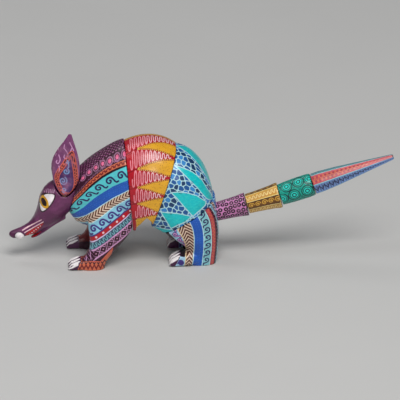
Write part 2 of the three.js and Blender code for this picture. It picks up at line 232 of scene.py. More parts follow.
def scattered(u, v, spacing, jitter, seed):
    """Distances from the nearest and the next of many loosely spread seeds, with a number
    from 0 to 1 that belongs to the nearest one."""
    draw = np.random.default_rng(seed)
    shift = draw.uniform(-jitter, jitter, (SEED_GRID, SEED_GRID, 2))
    mark = draw.uniform(0, 1, (SEED_GRID, SEED_GRID))
    first = np.full(u.shape, FAR_OFF)
    second = np.full(u.shape, FAR_OFF)
    owner = np.zeros(u.shape)
    row = np.floor(v / spacing).astype(int)
    for down in (-1, 0, 1):
        b = row + down
        offset = 0.5 * (b % 2)
        column = np.floor(u / spacing - offset).astype(int)
        for right in (-1, 0, 1):
            a = column + right
            own = shift[a % SEED_GRID, b % SEED_GRID]
            du = u - (a + 0.5 + offset + own[:, 0]) * spacing
            dv = v - (b + 0.5 + own[:, 1]) * spacing
            distance = np.hypot(du, dv)
            nearer = distance < first
            second = np.where(nearer, first, np.minimum(second, distance))
            owner = np.where(nearer, mark[a % SEED_GRID, b % SEED_GRID], owner)
            first = np.where(nearer, distance, first)
    return first, second, owner


def line_through(points):
    """A smooth function through (along, across) points, straight beyond its ends."""
    dense = flowing(points, 10)
    dense = dense[np.argsort(dense[:, 0])]
    a, b = dense[:, 0], dense[:, 1]
    steep = [(b[3] - b[0]) / (a[3] - a[0]), (b[-1] - b[-4]) / (a[-1] - a[-4])]

    def across(at):
        value = np.interp(at, a, b)
        return value + steep[0] * np.minimum(at - a[0], 0) + steep[1] * np.maximum(at - a[-1], 0)

    return across


def level(value):
    """A line that stays at one value."""
    return lambda at: 0 * at + value


def shifted(line, by):
    return lambda at: line(at) + by


# ---- carved skins --------------------------------------------------------------------------
def closed_copy(node):
    """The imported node's mesh with its split corners joined."""
    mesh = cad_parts[node].data.copy()
    bm = bmesh.new()
    bm.from_mesh(mesh)
    bmesh.ops.remove_doubles(bm, verts=bm.verts, dist=1e-6)
    bm.to_mesh(mesh)
    bm.free()
    return mesh


def crisp_places(mesh, angle):
    """Points along the edges that turn by more than `angle` degrees, in millimetres."""
    bm = bmesh.new()
    bm.from_mesh(mesh)
    places = []
    for edge in bm.edges:
        if len(edge.link_faces) == 2 and edge.calc_face_angle(0) > math.radians(angle):
            a, b = (v.co / MM for v in edge.verts)
            count = max(2, int((b - a).length / 0.5))
            places += [a.lerp(b, i / count) for i in range(count + 1)]
    bm.free()
    return places


def remeshed(mesh, voxel, name):
    """A new object with the same shape, meshed evenly."""
    source = bpy.data.objects.new("remesh_source", mesh)
    bpy.context.scene.collection.objects.link(source)
    step = source.modifiers.new("even", "REMESH")
    step.mode = "VOXEL"
    step.voxel_size = voxel * MM
    step.adaptivity = 0
    found = source.evaluated_get(bpy.context.evaluated_depsgraph_get())
    even = bpy.data.meshes.new_from_object(found)
    bpy.data.objects.remove(source)
    bpy.data.meshes.remove(mesh)
    piece = bpy.data.objects.new(name, even)
    even.name = name
    bpy.context.scene.collection.objects.link(piece)
    return piece


def eased(points, edges, loose, passes, shrink):
    """Points moved towards their neighbours' middle, by how loose each is; `shrink` lets
    the shape settle inwards, and without it each pass gives back what it took."""
    ends = np.concatenate([edges, edges[:, ::-1]])
    ends = ends[np.argsort(ends[:, 0], kind="stable")]
    starts = np.searchsorted(ends[:, 0], np.arange(len(points)))
    count = np.diff(np.append(starts, len(ends)))[:, None]
    shares = (EASE,) if shrink else (EASE, GIVE_BACK)
    for _ in range(passes):
        for share in shares:
            middle = np.add.reduceat(points[ends[:, 1]], starts, axis=0) / count
            points = points + share * loose[:, None] * (middle - points)
    return points


class Skin:
    """The smooth skin of one carved block, which stands for its CAD node."""

    def __init__(self, node, body, slot, passes, voxel=SKIN_VOXEL, shrink=False, hold=None):
        mesh = closed_copy(node)
        sharp = crisp_places(mesh, CRISP_ANGLE)
        self.piece = remeshed(mesh, voxel, f"{node}_carved")
        self.points = self.read("vertices", "co", 3) / MM
        edges = self.read("edges", "vertices", 2, int)
        loose = np.ones(len(self.points))
        if sharp:
            tree = KDTree(len(sharp))
            for i, place in enumerate(sharp):
                tree.insert(place, i)
            tree.balance()
            far = np.array([tree.find(p)[2] for p in self.points])
            loose = np.clip((far - CRISP_RIM) / CRISP_FADE, 0, 1)
        if hold is not None:
            loose = loose * hold(self.points)
        self.points = eased(self.points, edges, loose, passes, shrink)
        self.apply()
        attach(self.piece, body)
        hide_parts(node)

    def read(self, kind, name, width, form=float):
        """One number group of the mesh as an array with a row for each element."""
        rows = getattr(self.piece.data, kind)
        values = np.zeros(len(rows) * width, form)
        rows.foreach_get(name, values)
        return values.reshape(-1, width)

    def apply(self):
        """Puts the points back in the mesh and reads the new normals."""
        mesh = self.piece.data
        mesh.vertices.foreach_set("co", (self.points * MM).ravel())
        mesh.update()
        mesh.polygons.foreach_set("use_smooth", np.ones(len(mesh.polygons), bool))
        normals = np.zeros(len(mesh.vertices) * 3)
        mesh.vertex_normals.foreach_get("vector", normals)
        self.normals = normals.reshape(-1, 3)

    @property
    def x(self):
        return self.points[:, 0]

    @property
    def y(self):
        return self.points[:, 1]

    @property
    def z(self):
        return self.points[:, 2]

    @property
    def facing_out(self):
        """How much each place faces away from the middle plane."""
        return self.normals[:, 1] * np.sign(self.points[:, 1])


# ---- canvases and zones ------------------------------------------------------------------
COATS = ("field", "under", "over")
GRAINS = ("stipple", "weave")


class Canvas:
    """The painting on one skin: ground colours, and three coats of strokes on them.

    A coat holds how far inside its nearest stroke each vertex is, in millimetres, and that
    stroke's ink. The material turns the distance into a clean brushed edge.
    """

    def __init__(self, skin, ground):
        count = len(skin.points)
        self.skin = skin
        self.ground = np.tile(INK[ground], (count, 1))
        self.depth = {coat: np.full(count, -FAR_OFF) for coat in COATS}
        self.inks = {coat: np.tile(INK[ground], (count, 1)) for coat in COATS}
        self.grain = {grain: np.zeros(count) for grain in GRAINS}
        self.relief = np.zeros(count)

    def wipe(self, at, ink=None):
        """Takes the strokes off these vertices, and may give them a new ground."""
        for coat in COATS:
            self.depth[coat][at] = -FAR_OFF
        if ink:
            self.ground[at] = INK[ink]

    def finish(self, material):
        """Raises the relief, and stores the painting where the material reads it."""
        skin = self.skin
        skin.points = skin.points + skin.normals * self.relief[:, None]
        skin.apply()
        mesh = skin.piece.data
        self.store(mesh, "ground", self.ground)
        for coat in COATS:
            self.store(mesh, f"{coat}_ink", self.inks[coat])
            self.store(mesh, f"{coat}_depth", self.depth[coat])
        for grain in GRAINS:
            self.store(mesh, grain, self.grain[grain])
        mesh.materials.clear()
        mesh.materials.append(material)

    @staticmethod
    def store(mesh, name, values):
        if values.ndim == 1:
            layer = mesh.attributes.new(name, "FLOAT", "POINT")
            layer.data.foreach_set("value", values.astype(np.float32))
        else:
            layer = mesh.attributes.new(name, "FLOAT_COLOR", "POINT")
            full = np.column_stack([values, np.ones(len(values))])
            layer.data.foreach_set("color", full.ravel().astype(np.float32))


class Zone:
    """A painted patch with its own directions: u along it and v across it."""

    def __init__(self, canvas, u, v, inside, half=None, reach=1.5):
        self.canvas = canvas
        self.at = np.flatnonzero(inside > -reach)
        self.u, self.v, self.inside = u[self.at], v[self.at], inside[self.at]
        self.half = np.full(len(self.at), 1.0) if half is None else half[self.at]

    def fill(self, ink, grow=0.0):
        self.canvas.ground[self.at[self.inside > -grow]] = INK[ink]

    def lay(self, ink):
        self.draw("field", self.inside, ink)

    def draw(self, coat, inside, ink, margin=None):
        """Adds strokes to a coat, kept `margin` inside the zone if that is given."""
        if margin is not None:
            inside = np.minimum(inside, self.inside - margin)
        depth, inks = self.canvas.depth[coat], self.canvas.inks[coat]
        nearer = inside > depth[self.at]
        depth[self.at[nearer]] = inside[nearer]
        inks[self.at[nearer]] = INK[ink] if isinstance(ink, str) else ink[nearer]

    def raise_by(self, inside, height, slope=0.5):
        """Lifts the surface under a stroke by a rounded step."""
        lift = height * np.clip(inside / slope, 0, 1) ** 0.5
        relief = self.canvas.relief
        relief[self.at] = np.maximum(relief[self.at], lift)

    def grain(self, name, strength=1.0):
        self.canvas.grain[name][self.at] = np.where(self.inside > 0, strength, 0)


def patch(canvas, u, v, corners, smooth=0):
    """The zone inside an outline."""
    outline = flowing(corners, smooth, closed=True) if smooth else corners
    return Zone(canvas, u, v, in_shape(u, v, outline))


def whole(canvas, u, v):
    """The zone of every place."""
    return Zone(canvas, u, v, np.full(len(u), FAR_OFF))


def band(canvas, along, across, first, last):
    """The zone between two lines, each an across(along) function. v is negative on the
    first line's side."""

    def centre(at):
        return (first(at) + last(at)) / 2

    grid = np.arange(along.min() - 3, along.max() + 3, 0.5)
    steps = np.hypot(0.5, np.diff(centre(grid)))
    lengths = np.concatenate([[0], np.cumsum(steps)])
    steep = centre(along + 0.5) - centre(along - 0.5)
    cos = 1 / np.hypot(1, steep)
    off = across - centre(along)
    half = (last(along) - first(along)) / 2 * cos
    u = np.interp(along, grid, lengths) + off * steep * cos
    v = off * cos
    return Zone(canvas, u, v, half - np.abs(v), half)


def fill_bands(zones, inks):
    """Grounds for neighbouring bands. Every other one is laid as strokes, for clean edges."""
    laid, between = list(inks)[::2], list(inks)[1::2]
    for name in laid:
        zones[name].fill(inks[name])
    for name in between:
        zones[name].fill(inks[name], grow=0.8)
    for name in laid:
        zones[name].lay(inks[name])


def draw_rule(canvas, along, across, line, width, ink, squash=1.0):
    """A thin line along the border of two bands."""
    rule = Zone(canvas, along, across, 1.0 - np.abs(across - line(along)))
    rule.draw("over", width - np.abs(rule.v - line(rule.u)) * squash, ink)


def girth_of(x, y, z):
    up = z - np.interp(x, MIDDLE_LINE_X, MIDDLE_LINE_Z)
    over = RHO * np.arctan2(np.abs(y), np.maximum(up, 0))
    return np.where(up >= 0, over, RHO * math.pi / 2 - up)


def flank_y(skin, x, z):
    """How far out the flank is at x and z."""
    near = np.hypot(skin.x - x, skin.z - z)
    pool = np.flatnonzero(near < max(0.7, near.min() + 0.05))
    return np.abs(skin.y[pool]).max()


def flank(skin, x, z):
    """The flank's place at x and z, as x and girth."""
    return x, float(girth_of(x, flank_y(skin, x, z), z))


# ---- materials ---------------------------------------------------------------------------
class Graph:
    """A material's node tree, with short ways to add to it."""

    def __init__(self, name):
        self.material = bpy.data.materials.new(name)
        self.material.use_nodes = True
        self.tree = self.material.node_tree
        self.tree.nodes.clear()
        self.output = self.tree.nodes.new("ShaderNodeOutputMaterial")
        self.place = self.tree.nodes.new("ShaderNodeTexCoord").outputs["Object"]

    def wire(self, socket, value):
        if isinstance(value, bpy.types.NodeSocket):
            self.tree.links.new(value, socket)
        elif isinstance(value, (int, float)) and hasattr(socket.default_value, "__len__"):
            socket.default_value = [value] * len(socket.default_value)
        elif value is not None:
            socket.default_value = value

    def colour(self, name):
        return (*INK[name], 1.0) if isinstance(name, str) else name

    def read(self, name, out):
        node = self.tree.nodes.new("ShaderNodeAttribute")
        node.attribute_name = name
        return node.outputs[out]

    def math(self, operation, a, b=None, c=None):
        node = self.tree.nodes.new("ShaderNodeMath")
        node.operation = operation
        for socket, value in zip(node.inputs, (a, b, c)):
            self.wire(socket, value)
        return node.outputs[0]

    def mix(self, share, a, b, blend="MIX"):
        node = self.tree.nodes.new("ShaderNodeMix")
        node.data_type = "RGBA"
        node.blend_type = blend
        self.wire(node.inputs["Factor"], share)
        colours = [s for s in node.inputs if s.type == "RGBA"]
        self.wire(colours[0], self.colour(a))
        self.wire(colours[1], self.colour(b))
        return next(s for s in node.outputs if s.type == "RGBA")

    def ramp(self, value, low, high, to_low=0.0, to_high=1.0, smooth=True):
        node = self.tree.nodes.new("ShaderNodeMapRange")
        node.interpolation_type = "SMOOTHSTEP" if smooth else "LINEAR"
        for name, number in (("Value", value), ("From Min", low), ("From Max", high)):
            self.wire(node.inputs[name], number)
        self.wire(node.inputs["To Min"], to_low)
        self.wire(node.inputs["To Max"], to_high)
        return node.outputs["Result"]

    def stretched(self, scale):
        node = self.tree.nodes.new("ShaderNodeMapping")
        self.wire(node.inputs["Vector"], self.place)
        node.inputs["Scale"].default_value = scale
        return node.outputs["Vector"]

    def noise(self, per_metre, detail=2.0, rough=0.5, at=None):
        node = self.tree.nodes.new("ShaderNodeTexNoise")
        self.wire(node.inputs["Vector"], at or self.place)
        node.inputs["Scale"].default_value = per_metre
        node.inputs["Detail"].default_value = detail
        node.inputs["Roughness"].default_value = rough
        return node.outputs["Fac"]

    def cells(self, per_metre):
        node = self.tree.nodes.new("ShaderNodeTexVoronoi")
        self.wire(node.inputs["Vector"], self.place)
        node.inputs["Scale"].default_value = per_metre
        return node.outputs["Distance"]

    def surface(self, colour, roughness, height, bump, coat=0.0, coat_rough=0.2, specular=0.5):
        shader = self.tree.nodes.new("ShaderNodeBsdfPrincipled")
        self.wire(shader.inputs["Base Color"], colour)
        self.wire(shader.inputs["Roughness"], roughness)
        shader.inputs["Specular IOR Level"].default_value = specular
        shader.inputs["Coat Weight"].default_value = coat
        shader.inputs["Coat Roughness"].default_value = coat_rough
        dent = self.tree.nodes.new("ShaderNodeBump")
        dent.inputs["Strength"].default_value = bump
        dent.inputs["Distance"].default_value = 0.2 * MM
        self.wire(dent.inputs["Height"], height)
        self.wire(shader.inputs["Normal"], dent.outputs["Normal"])
        self.wire(self.output.inputs["Surface"], shader.outputs["BSDF"])
        return self.material


def painted(name, mottle, tint="plum_light", tint_share=0.0):
    """Acrylic brushwork over carved wood: crisp strokes, brush streaks and a satin varnish."""
    g = Graph(name)
    wander = g.math("MULTIPLY_ADD", g.noise(620, 2), 0.34, -0.17)
    colour = g.read("ground", "Color")
    thick = None
    for coat in COATS:
        depth = g.math("ADD", g.read(f"{coat}_depth", "Fac"), wander)
        cover = g.ramp(depth, -0.14, 0.14)
        colour = g.mix(cover, colour, g.read(f"{coat}_ink", "Color"))
        if coat != "field":
            thick = cover if thick is None else g.math("ADD", thick, cover)
    specks = g.ramp(g.cells(800), 0.32, 0.22)
    specks = g.math("MULTIPLY", specks, g.read("stipple", "Fac"))
    colour = g.mix(g.math("MULTIPLY", specks, 0.55), colour, "brick")
    weft = g.noise(420, 1, at=g.stretched((1, 1, 3.2)))
    weave = g.math("MULTIPLY", g.ramp(weft, 0.5, 0.62), g.read("weave", "Fac"))
    colour = g.mix(g.math("MULTIPLY", weave, 0.6), colour, "teal_light")
    if tint_share:
        cloud = g.ramp(g.noise(90, 5, 0.65), 0.45, 0.68)
        colour = g.mix(g.math("MULTIPLY", cloud, tint_share), colour, tint)
    patchy = g.ramp(g.noise(75, 5, 0.6), 0.3, 0.7, 1 - mottle, 1 + mottle * 0.7, smooth=False)
    streaks = g.noise(260, 4, 0.7, at=g.stretched((0.35, 1, 1.6)))
    streaks = g.ramp(streaks, 0.3, 0.7, 0.9, 1.08, smooth=False)
    shade = g.math("MULTIPLY", patchy, streaks)
    colour = g.mix(1.0, colour, shade_colour(g, shade), "MULTIPLY")
    rough = g.ramp(g.noise(180, 3), 0.3, 0.7, 0.34, 0.5)
    height = g.math("MULTIPLY_ADD", g.noise(340, 4, 0.6), 0.7, g.math("MULTIPLY", thick, 0.35))
    return g.surface(colour, rough, height, 0.42, coat=0.36, coat_rough=0.2, specular=0.35)


def shade_colour(g, value):
    """A grey of that value, to multiply a colour by."""
    node = g.tree.nodes.new("ShaderNodeCombineColor")
    for name in ("Red", "Green", "Blue"):
        g.wire(node.inputs[name], value)
    return node.outputs["Color"]


def bare_wood(name):
    """Pale turned wood with fine grain along its length and a little wear."""
    g = Graph(name)
    grain = g.noise(900, 4, 0.6, at=g.stretched((0.12, 1, 1)))
    broad = g.noise(160, 3, 0.5, at=g.stretched((0.2, 1, 1)))
    colour = g.mix(g.ramp(grain, 0.4, 0.65), (0.58, 0.36, 0.17, 1), (0.4, 0.22, 0.09, 1))
    colour = g.mix(g.math("MULTIPLY", broad, 0.5), colour, (0.7, 0.5, 0.28, 1))
    rough = g.ramp(grain, 0.3, 0.7, 0.6, 0.78)
    return g.surface(colour, rough, grain, 0.3)


# ---- shells ------------------------------------------------------------------------------
WEDGES = 5
WEDGE_PITCH = 13.7  # girth between the points of neighbouring yellow wedges
BELLY_POINT = (-51.0, 81.0)  # the lowest wedge runs down to here
CREST_EDGE, CREST_END = -3.0, -11.0  # girths of the dotted strip beyond the crest


def sun_back(girth):
    """x of the middle shell's back edge, which leans forward on its way down."""
    return -19.5 - 0.26 * girth


def wedge_top(number):
    """The girth of a yellow wedge's upper corner on the shell's back edge."""
    return 3.5 + 15.0 * number


def wedge_edge(tip, corner, share, rise):
    """A bowed line from a wedge's tip through a corner, and on past the shell's edge."""
    bow = (tip[0] + 0.55 * (corner[0] - tip[0]), tip[1] + share * (corner[1] - tip[1]))
    return flowing([tip, bow, corner, (corner[0] + 6, corner[1] + rise)], 8)


def wedge_edges(number):
    """The upper and the lower line of a yellow wedge."""
    tip = (-52.0, 12.0 + WEDGE_PITCH * number)
    high, low = wedge_top(number), 15.3 + 15.2 * number
    corner = BELLY_POINT if number == WEDGES - 1 else (sun_back(low), low)
    return wedge_edge(tip, (sun_back(high), high), 0.62, -0.6), wedge_edge(tip, corner, 0.48, 0.6)


def dotted(zone, line, ink):
    """Small dots along a line of points."""
    along = np.hypot(*(line[1:] - line[:-1]).T).cumsum()
    for place in np.arange(1.5, along[-1], 1.5):
        spot = [np.interp(place, along, line[1:, i]) for i in (0, 1)]
        zone.draw("over", 0.42 - np.hypot(zone.u - spot[0], zone.v - spot[1]), ink)


def paint_looping_line(canvas, x, g, first, last, start, stop):
    """A line that loops between two edges on red, rosy in front and paler further back."""

    def centre(at):
        return (first(at) + last(at)) / 2

    def reach(at):
        return np.clip((last(at) - first(at)) / 2 - 0.95, 0.35, 9)

    zone = Zone(canvas, x, g, np.minimum(g - first(x), last(x) - g))
    near = (zone.u > start - 2) & (zone.u < stop + 3)
    off = off_path(zone.u, zone.v, meander_path(start, stop, 3.3, centre, reach))
    fade = np.clip((zone.u + 50) / 14, 0, 1)[:, None]
    ink = INK["pink_pale"] * fade + INK["rose"] * (1 - fade)
    zone.draw("over", np.where(near, 0.36 - off, -FAR_OFF), ink)
    zone.draw("under", np.where(near, 1.15 - off, -FAR_OFF), "red")


def paint_middle_shell(skin):
    """Yellow wedges between red ones that carry a looping line."""
    canvas = Canvas(skin, "red")
    x, g = skin.x, girth_of(skin.x, skin.y, skin.z)
    g = np.where((skin.y > 0) & (g < -CREST_END), -g, g)
    uppers, lowers = [], []
    for number in range(WEDGES):
        upper, lower = wedge_edges(number)
        uppers.append(line_through(upper[::3]))
        lowers.append(line_through(lower[::3]))
        zone = Zone(canvas, x, g, in_shape(x, g, np.vstack([upper, lower[::-1]])))
        zone.lay("yellow")
        zone.grain("stipple")
        dotted(zone, upper, "yellow_light")
        dotted(zone, lower, "yellow_light")
    top = band(canvas, x, g, level(CREST_END), level(CREST_EDGE))
    top.lay("tan")
    top.grain("stipple", 0.7)
    for row, ink in ((-2.4, "yellow_light"), (0, "brick"), (2.4, "yellow_light")):
        top.draw("over", dots(top.u, top.v - row, 2.4, 0.55, row), ink)
    for i, first in enumerate([level(CREST_EDGE)] + lowers[:-1]):
        start, stop = -57.2 + 1.2 * i, sun_back(wedge_top(i)) - 0.5
        paint_looping_line(canvas, x, g, first, uppers[i], start, stop)
    # Deep red shades the wedges' borders.
    for line in uppers + lowers:
        zone = Zone(canvas, x, g, 1.0 - np.abs(g - line(x)))
        zone.draw("under", 0.5 - np.abs(zone.v - line(zone.u)) / 1.1, "red_deep")
    canvas.finish(painted("sun_shell", mottle=0.1))


def paint_rear_shell(skin):
    """Blue cobbles in a pale net, between teal wedges."""
    canvas = Canvas(skin, "ice")
    x, g = skin.x, girth_of(skin.x, skin.y, skin.z)
    all_over = whole(canvas, x, g)
    first, second, mark = scattered(x, g, 4.1, 0.33, 7)
    stone = (second - first) / 2 - 0.3
    ink = np.where(mark[:, None] < 0.45, INK["cell"], INK["cell_light"])
    ink = np.where(mark[:, None] > 0.8, INK["cell_dark"], ink)
    all_over.draw("under", stone, ink)
    wedges = [
        [(-22, 22), (-8, 23.5), (0, 26.5), (7, 36.5), (9, 47.5), (4, 45), (-4, 36), (-13, 29)],
        [(-25, 44), (-13, 42), (-5, 43), (2.5, 47), (2, 50), (-8, 61)],
        [(-33, 61), (-9, 61), (-14, 67), (-25, 75)],
        [(-38, 77.5), (-24, 76), (-20.5, 79.5), (-30, 87)],
    ]
    crest = [(-22, -1), (-16, 3), (-9, 8), (-4, 11), (1, 15), (4.5, 18), (8, 21), (12, 23), (14, -1)]
    for corners in wedges + [crest]:
        zone = Zone(canvas, x, g, in_shape(x, g, corners))
        zone.draw("under", zone.inside + 0.2, "teal")
        zone.grain("weave")
        zone.draw("over", 0.42 - np.abs(zone.inside), "ice")
    hem = [flank(skin, -42, 30), flank(skin, -33, 24.5), flank(skin, -26.5, 28.5)]
    zone = patch(canvas, x, g, hem)
    zone.draw("under", zone.inside, "teal")
    zone.grain("weave")
    canvas.finish(painted("sea_shell", mottle=0.1))


# ---- forequarters ------------------------------------------------------------------------
SEAM_X, CHEST_X = -58.0, -100.0  # where the shoulder's bands start and where they end
SEAM_TOP = 88.0  # height of the highest line at the seam
SEAM_HEIGHTS = {  # of the line under each band, where it leaves the seam
    "crest": SEAM_TOP, "salmon": 85.0, "ditch": 83.5, "scroll": 74.5, "royal": 65.5,
    "braid": 58.5, "sky": 49.0, "red": 43.5, "steel": 36.5, "net": 29.0,
}


def fan_height(seam, x):
    """The height at x of the line that leaves the seam at height `seam`.

    The lines fan out forwards. The high ones bend down over the shoulder, and the low ones
    fall straight along the leg and level out at the chest.
    """
    low = SEAM_TOP - seam
    share = (SEAM_X - x) / (SEAM_X - CHEST_X)
    fall = min(6 + 0.64 * low, 30) * share + max(27 - 0.55 * low, 4) * share**2
    level = 0.45 * max(low - 10, 0) * max(share - 0.7, 0) / 0.3
    return seam - fall + level


SHOULDER_INKS = {
    "salmon": "salmon", "ditch": "maroon_deep", "scroll": "turquoise", "royal": "royal",
    "braid": "cream", "sky": "sky", "red": "red", "steel": "steel", "net": "maroon",
}
SHOULDER_RULES = (  # line, ink and half width of the rule on it
    ("royal", "ice", 0.32), ("braid", "ice", 0.34), ("red", "lilac_pale", 0.42),
    ("steel", "lattice", 0.5), ("net", "lattice", 0.55), ("scroll", "turquoise", 0.5),
    ("sky", "violet", 0.4),
)
TOE_SPREAD = 5.1 * 1.06  # between the middles of neighbouring toes, at their tips


def place_along(zone, skin, x, z):
    """Where along a zone the flank's place at x and z lies."""
    girth = flank(skin, x, z)[1]
    px, py, pz = skin.points[zone.at].T
    return zone.u[np.argmin(np.hypot(px - x, girth_of(px, py, pz) - girth))]


def paint_saddle(saddle):
    """Pink beads that shrink backwards, over a zigzag and rows of small dots."""
    up = saddle.half - saddle.v  # distance above the salmon band
    for i in range(7):
        place, above = 14.5 + 5.9 * i, max(10.4 - 1.5 * i, 4.4)
        # The stretch makes a bead round as seen from the side.
        off = np.hypot((saddle.u - place) * 1.1, (up - above) * 0.72)
        saddle.draw("over", 1.5 - off, "pink_dot")
        saddle.raise_by(1.5 - off, 0.3)
        saddle.draw("under", 0.42 - np.abs(off - 2.5), "mauve")
    saddle.draw("under", zigzag(saddle.u, up - 2.0, 2.6, 0.8, 0.5), "mauve")
    for row in range(12):
        ink = "mauve" if row % 2 == 0 else "plum_light"
        shift = 1.3 * (row % 2)
        saddle.draw("under", dots(saddle.u, up - 10.6 - 2.2 * row, 2.6, 0.78, shift), ink)


def paint_running_scroll(zone, skin, ink, radius, pitch, full_half, place, margin):
    """A running scroll that swells with its band, with one of its curls at a place."""
    start = place_along(zone, skin, *place)
    size = np.maximum(zone.half / full_half, 0.6)
    off = repeats(start - zone.u, -zone.v / size, wave_scroll(radius, pitch, 1.2), pitch)
    zone.draw("under", 0.66 - off, ink, margin=margin)


def paint_ripples(zone, radius):
    """Small pale dabs on a blue band."""
    first, _, _ = scattered(zone.u, zone.v, 1.9, 0.2, 3)
    zone.draw("under", radius - first, "royal_light", margin=0.5)


def paint_beads(beads, skin):
    """White dots on the red band, between darker edges."""
    start = place_along(beads, skin, -72, 35)
    spot = dots(beads.u, beads.v, 6.4, 0.9, start)
    beads.draw("over", spot, "pink_pale")
    beads.raise_by(spot, 0.3)
    beads.draw("under", 0.3 - np.abs(np.abs(beads.v) - beads.half + 0.5), "red_deep")


def paint_comb(comb):
    """A looping line on the steel band."""
    height = np.clip(comb.half - 1.3, 0.6, 4)
    loop = meander_path(-1.6, 4.9, 3.2, level(0), level(2.6), 0.24)
    off = off_path(wrapped(comb.u, 3.2), comb.v * 2.6 / height, loop)
    comb.draw("over", 0.36 - off, "aqua", margin=0.5)


def paint_net(net):
    """A lattice with a dot in each of its meshes."""
    half = np.maximum(net.half, 1.5)
    net.draw("over", lattice(net.u, net.v / half * 3.4, 6.4, 3.4, 0.46), "lattice", margin=0.3)
    net.draw("over", 0.5 - np.hypot(wrapped(net.u + 3.2, 6.4), net.v), "pink")
    for side in (-1, 1):
        spot = np.hypot(wrapped(net.u, 6.4), net.v - side * half * 0.62)
        net.draw("over", 0.42 - spot, "pink", margin=0.2)


def paint_forequarters(skin):
    """Slanting bands from the crest down to the forefoot, each with its own motif."""
    canvas = Canvas(skin, "maroon")
    x, y, z = skin.x, skin.y, skin.z
    g = girth_of(x, y, z)
    lines = {}
    for name, seam in SEAM_HEIGHTS.items():
        places = [(a, fan_height(seam, a)) for a in np.linspace(CHEST_X, SEAM_X, 5)]
        lines[name] = line_through([flank(skin, a, b) for a, b in places])
    names = list(lines)
    zones = {n: band(canvas, x, g, lines[m], lines[n]) for m, n in zip(names[:-1], names[1:])}
    fill_bands(zones, SHOULDER_INKS)

    paint_saddle(band(canvas, x, g, level(-2), lines["crest"]))
    key = zones["salmon"]
    hook = [(-1.7, -0.8), (-0.2, -0.8), (-0.2, 0.7), (1.1, 0.7), (1.1, -0.1)]
    key.draw("over", 0.48 - repeats(key.u, key.v, hook, 3.4), "brick")
    paint_running_scroll(zones["scroll"], skin, "navy", 3.1, 9.4, 4.6, (-72.5, 72.7), 0.2)
    paint_ripples(zones["royal"], 0.36)
    braid = zones["braid"]
    braid.draw("under", chevrons(braid.u, braid.v, 2.75, 0.95, -1.15), "brown", margin=0.3)
    paint_running_scroll(zones["sky"], skin, "violet", 3.0, 8.1, 4.3, (-70.5, 43.5), 0.15)
    paint_beads(zones["red"], skin)
    paint_comb(zones["steel"])
    paint_net(zones["net"])
    for name, ink, width in SHOULDER_RULES:
        draw_rule(canvas, x, g, lines[name], width, ink, squash=0.77)

    paint_forefoot(canvas, skin)
    # The inner sides of the legs stay dark maroon, as painted shade between the legs, but for brick
    # red above the toes.
    shaded_inner = np.flatnonzero((skin.facing_out < 0.12) & (z < 33) & (np.abs(y) < 24))
    canvas.wipe(shaded_inner, "maroon")
    top = shaded_inner[(z[shaded_inner] > 6.5) & (z[shaded_inner] < 22) & (x[shaded_inner] < -80)]
    canvas.ground[top] = INK["brick"]
    paint_claws(canvas, skin, -96.5, 22.0, 8.4, slope=0.4)
    canvas.finish(painted("shoulder", mottle=0.12))


def paint_forefoot(canvas, skin):
    """The forefoot: an orange side with dark zigzags, and a netted maroon instep."""
    x, z = skin.x, skin.z
    heel = [(-99.5, -2), (-100.5, 3.5), (-95.5, 8.5), (-80, 7.5), (-70, 19), (-72, 8), (-74, -2)]
    side = patch(canvas, x, z, heel)
    side.fill("salmon")
    canvas.wipe(side.at[side.inside > -0.3])
    side.lay("salmon")
    side.draw("under", zigzag(side.u, side.v - 3.2, 3.2, 1.9, 1.0), "brick", margin=0.5)
    side.draw("under", zigzag(side.u, side.v - 6.8, 3.2, 1.3, 0.8, 1.6), "maroon", margin=0.5)
    side.draw("over", 0.35 - np.abs(side.inside - 0.3), "coral")
    arch = [(-97.5, 7.5), (-94.5, 12.5), (-88, 15.5), (-84.5, 12.4), (-86, 8.6)]
    instep = patch(canvas, x, z, arch, 5)
    canvas.wipe(instep.at[instep.inside > -0.3])
    instep.fill("maroon", grow=0.3)
    net = lattice(instep.u + instep.v * 0.6, instep.v, 3.6, 3.6, 0.42)
    instep.draw("over", net, "lattice", margin=0.2)


def paint_claws(canvas, skin, root, foot_y, high, slope):
    """A long white claw on each toe, standing a little proud, with dark ground between."""
    x, y, z = skin.x, np.abs(skin.y), skin.z
    slanting = root + 1.5 - x - slope * np.where(y > foot_y + 4, high - z, 0)
    tips = Zone(canvas, x, y, np.minimum(slanting, high + 0.5 - z), reach=0.2)
    canvas.wipe(tips.at)
    tips.fill("plum_dark", grow=0.2)
    high_enough = skin.normals[tips.at, 2] + 0.35
    for toe in (-1, 0, 1):
        middle = foot_y + toe * TOE_SPREAD
        claw = 1 - np.hypot((tips.u - root + 3.6) / 4.6, (tips.v - middle) / 1.65)
        claw = np.minimum(claw * 1.6, high_enough)
        tips.draw("over", claw, "white")
        tips.raise_by(claw, 0.5, 0.8)
    # The outer toe's claw as the side view sees it, from the knuckle down to the tip.
    on_side = (y > foot_y + 3) & (skin.facing_out > 0.2)
    outer = Zone(canvas, x, z, np.where(on_side, 1.0, -1.0), reach=0.2)
    ahead = root - 0.6 - outer.u
    along = np.clip(ahead / (high * 0.85), 0, 1)
    middle = high - 2.6 - along * (high - 4.0)
    wide = 1.25 - 0.75 * along
    claw = np.minimum(wide - np.abs(outer.v - middle), np.minimum(ahead, 1.0))
    outer.draw("over", claw, "white")
    outer.raise_by(claw, 0.4, 0.8)


# ---- hindquarters ------------------------------------------------------------------------
THIGH_LINES = {  # x of the line before each stripe at its knee, the knee's height, the lean
    # above the knee, the power that the lean grows by, and the height of the line's top
    "blue": (-13.5, 10, 5.5, 1.4, 30),
    "cream": (-13.0, 12, 1.7, 2, 34),
    "royal": (-7.0, 18, 0.4, 3, 42),
    "teal": (0.5, 18, 0.3, 3, 47),
    "coral": (6.5, 20, 0.26, 3, 50),
    "dark": (10.5, 22, 0.3, 3, 51),
}


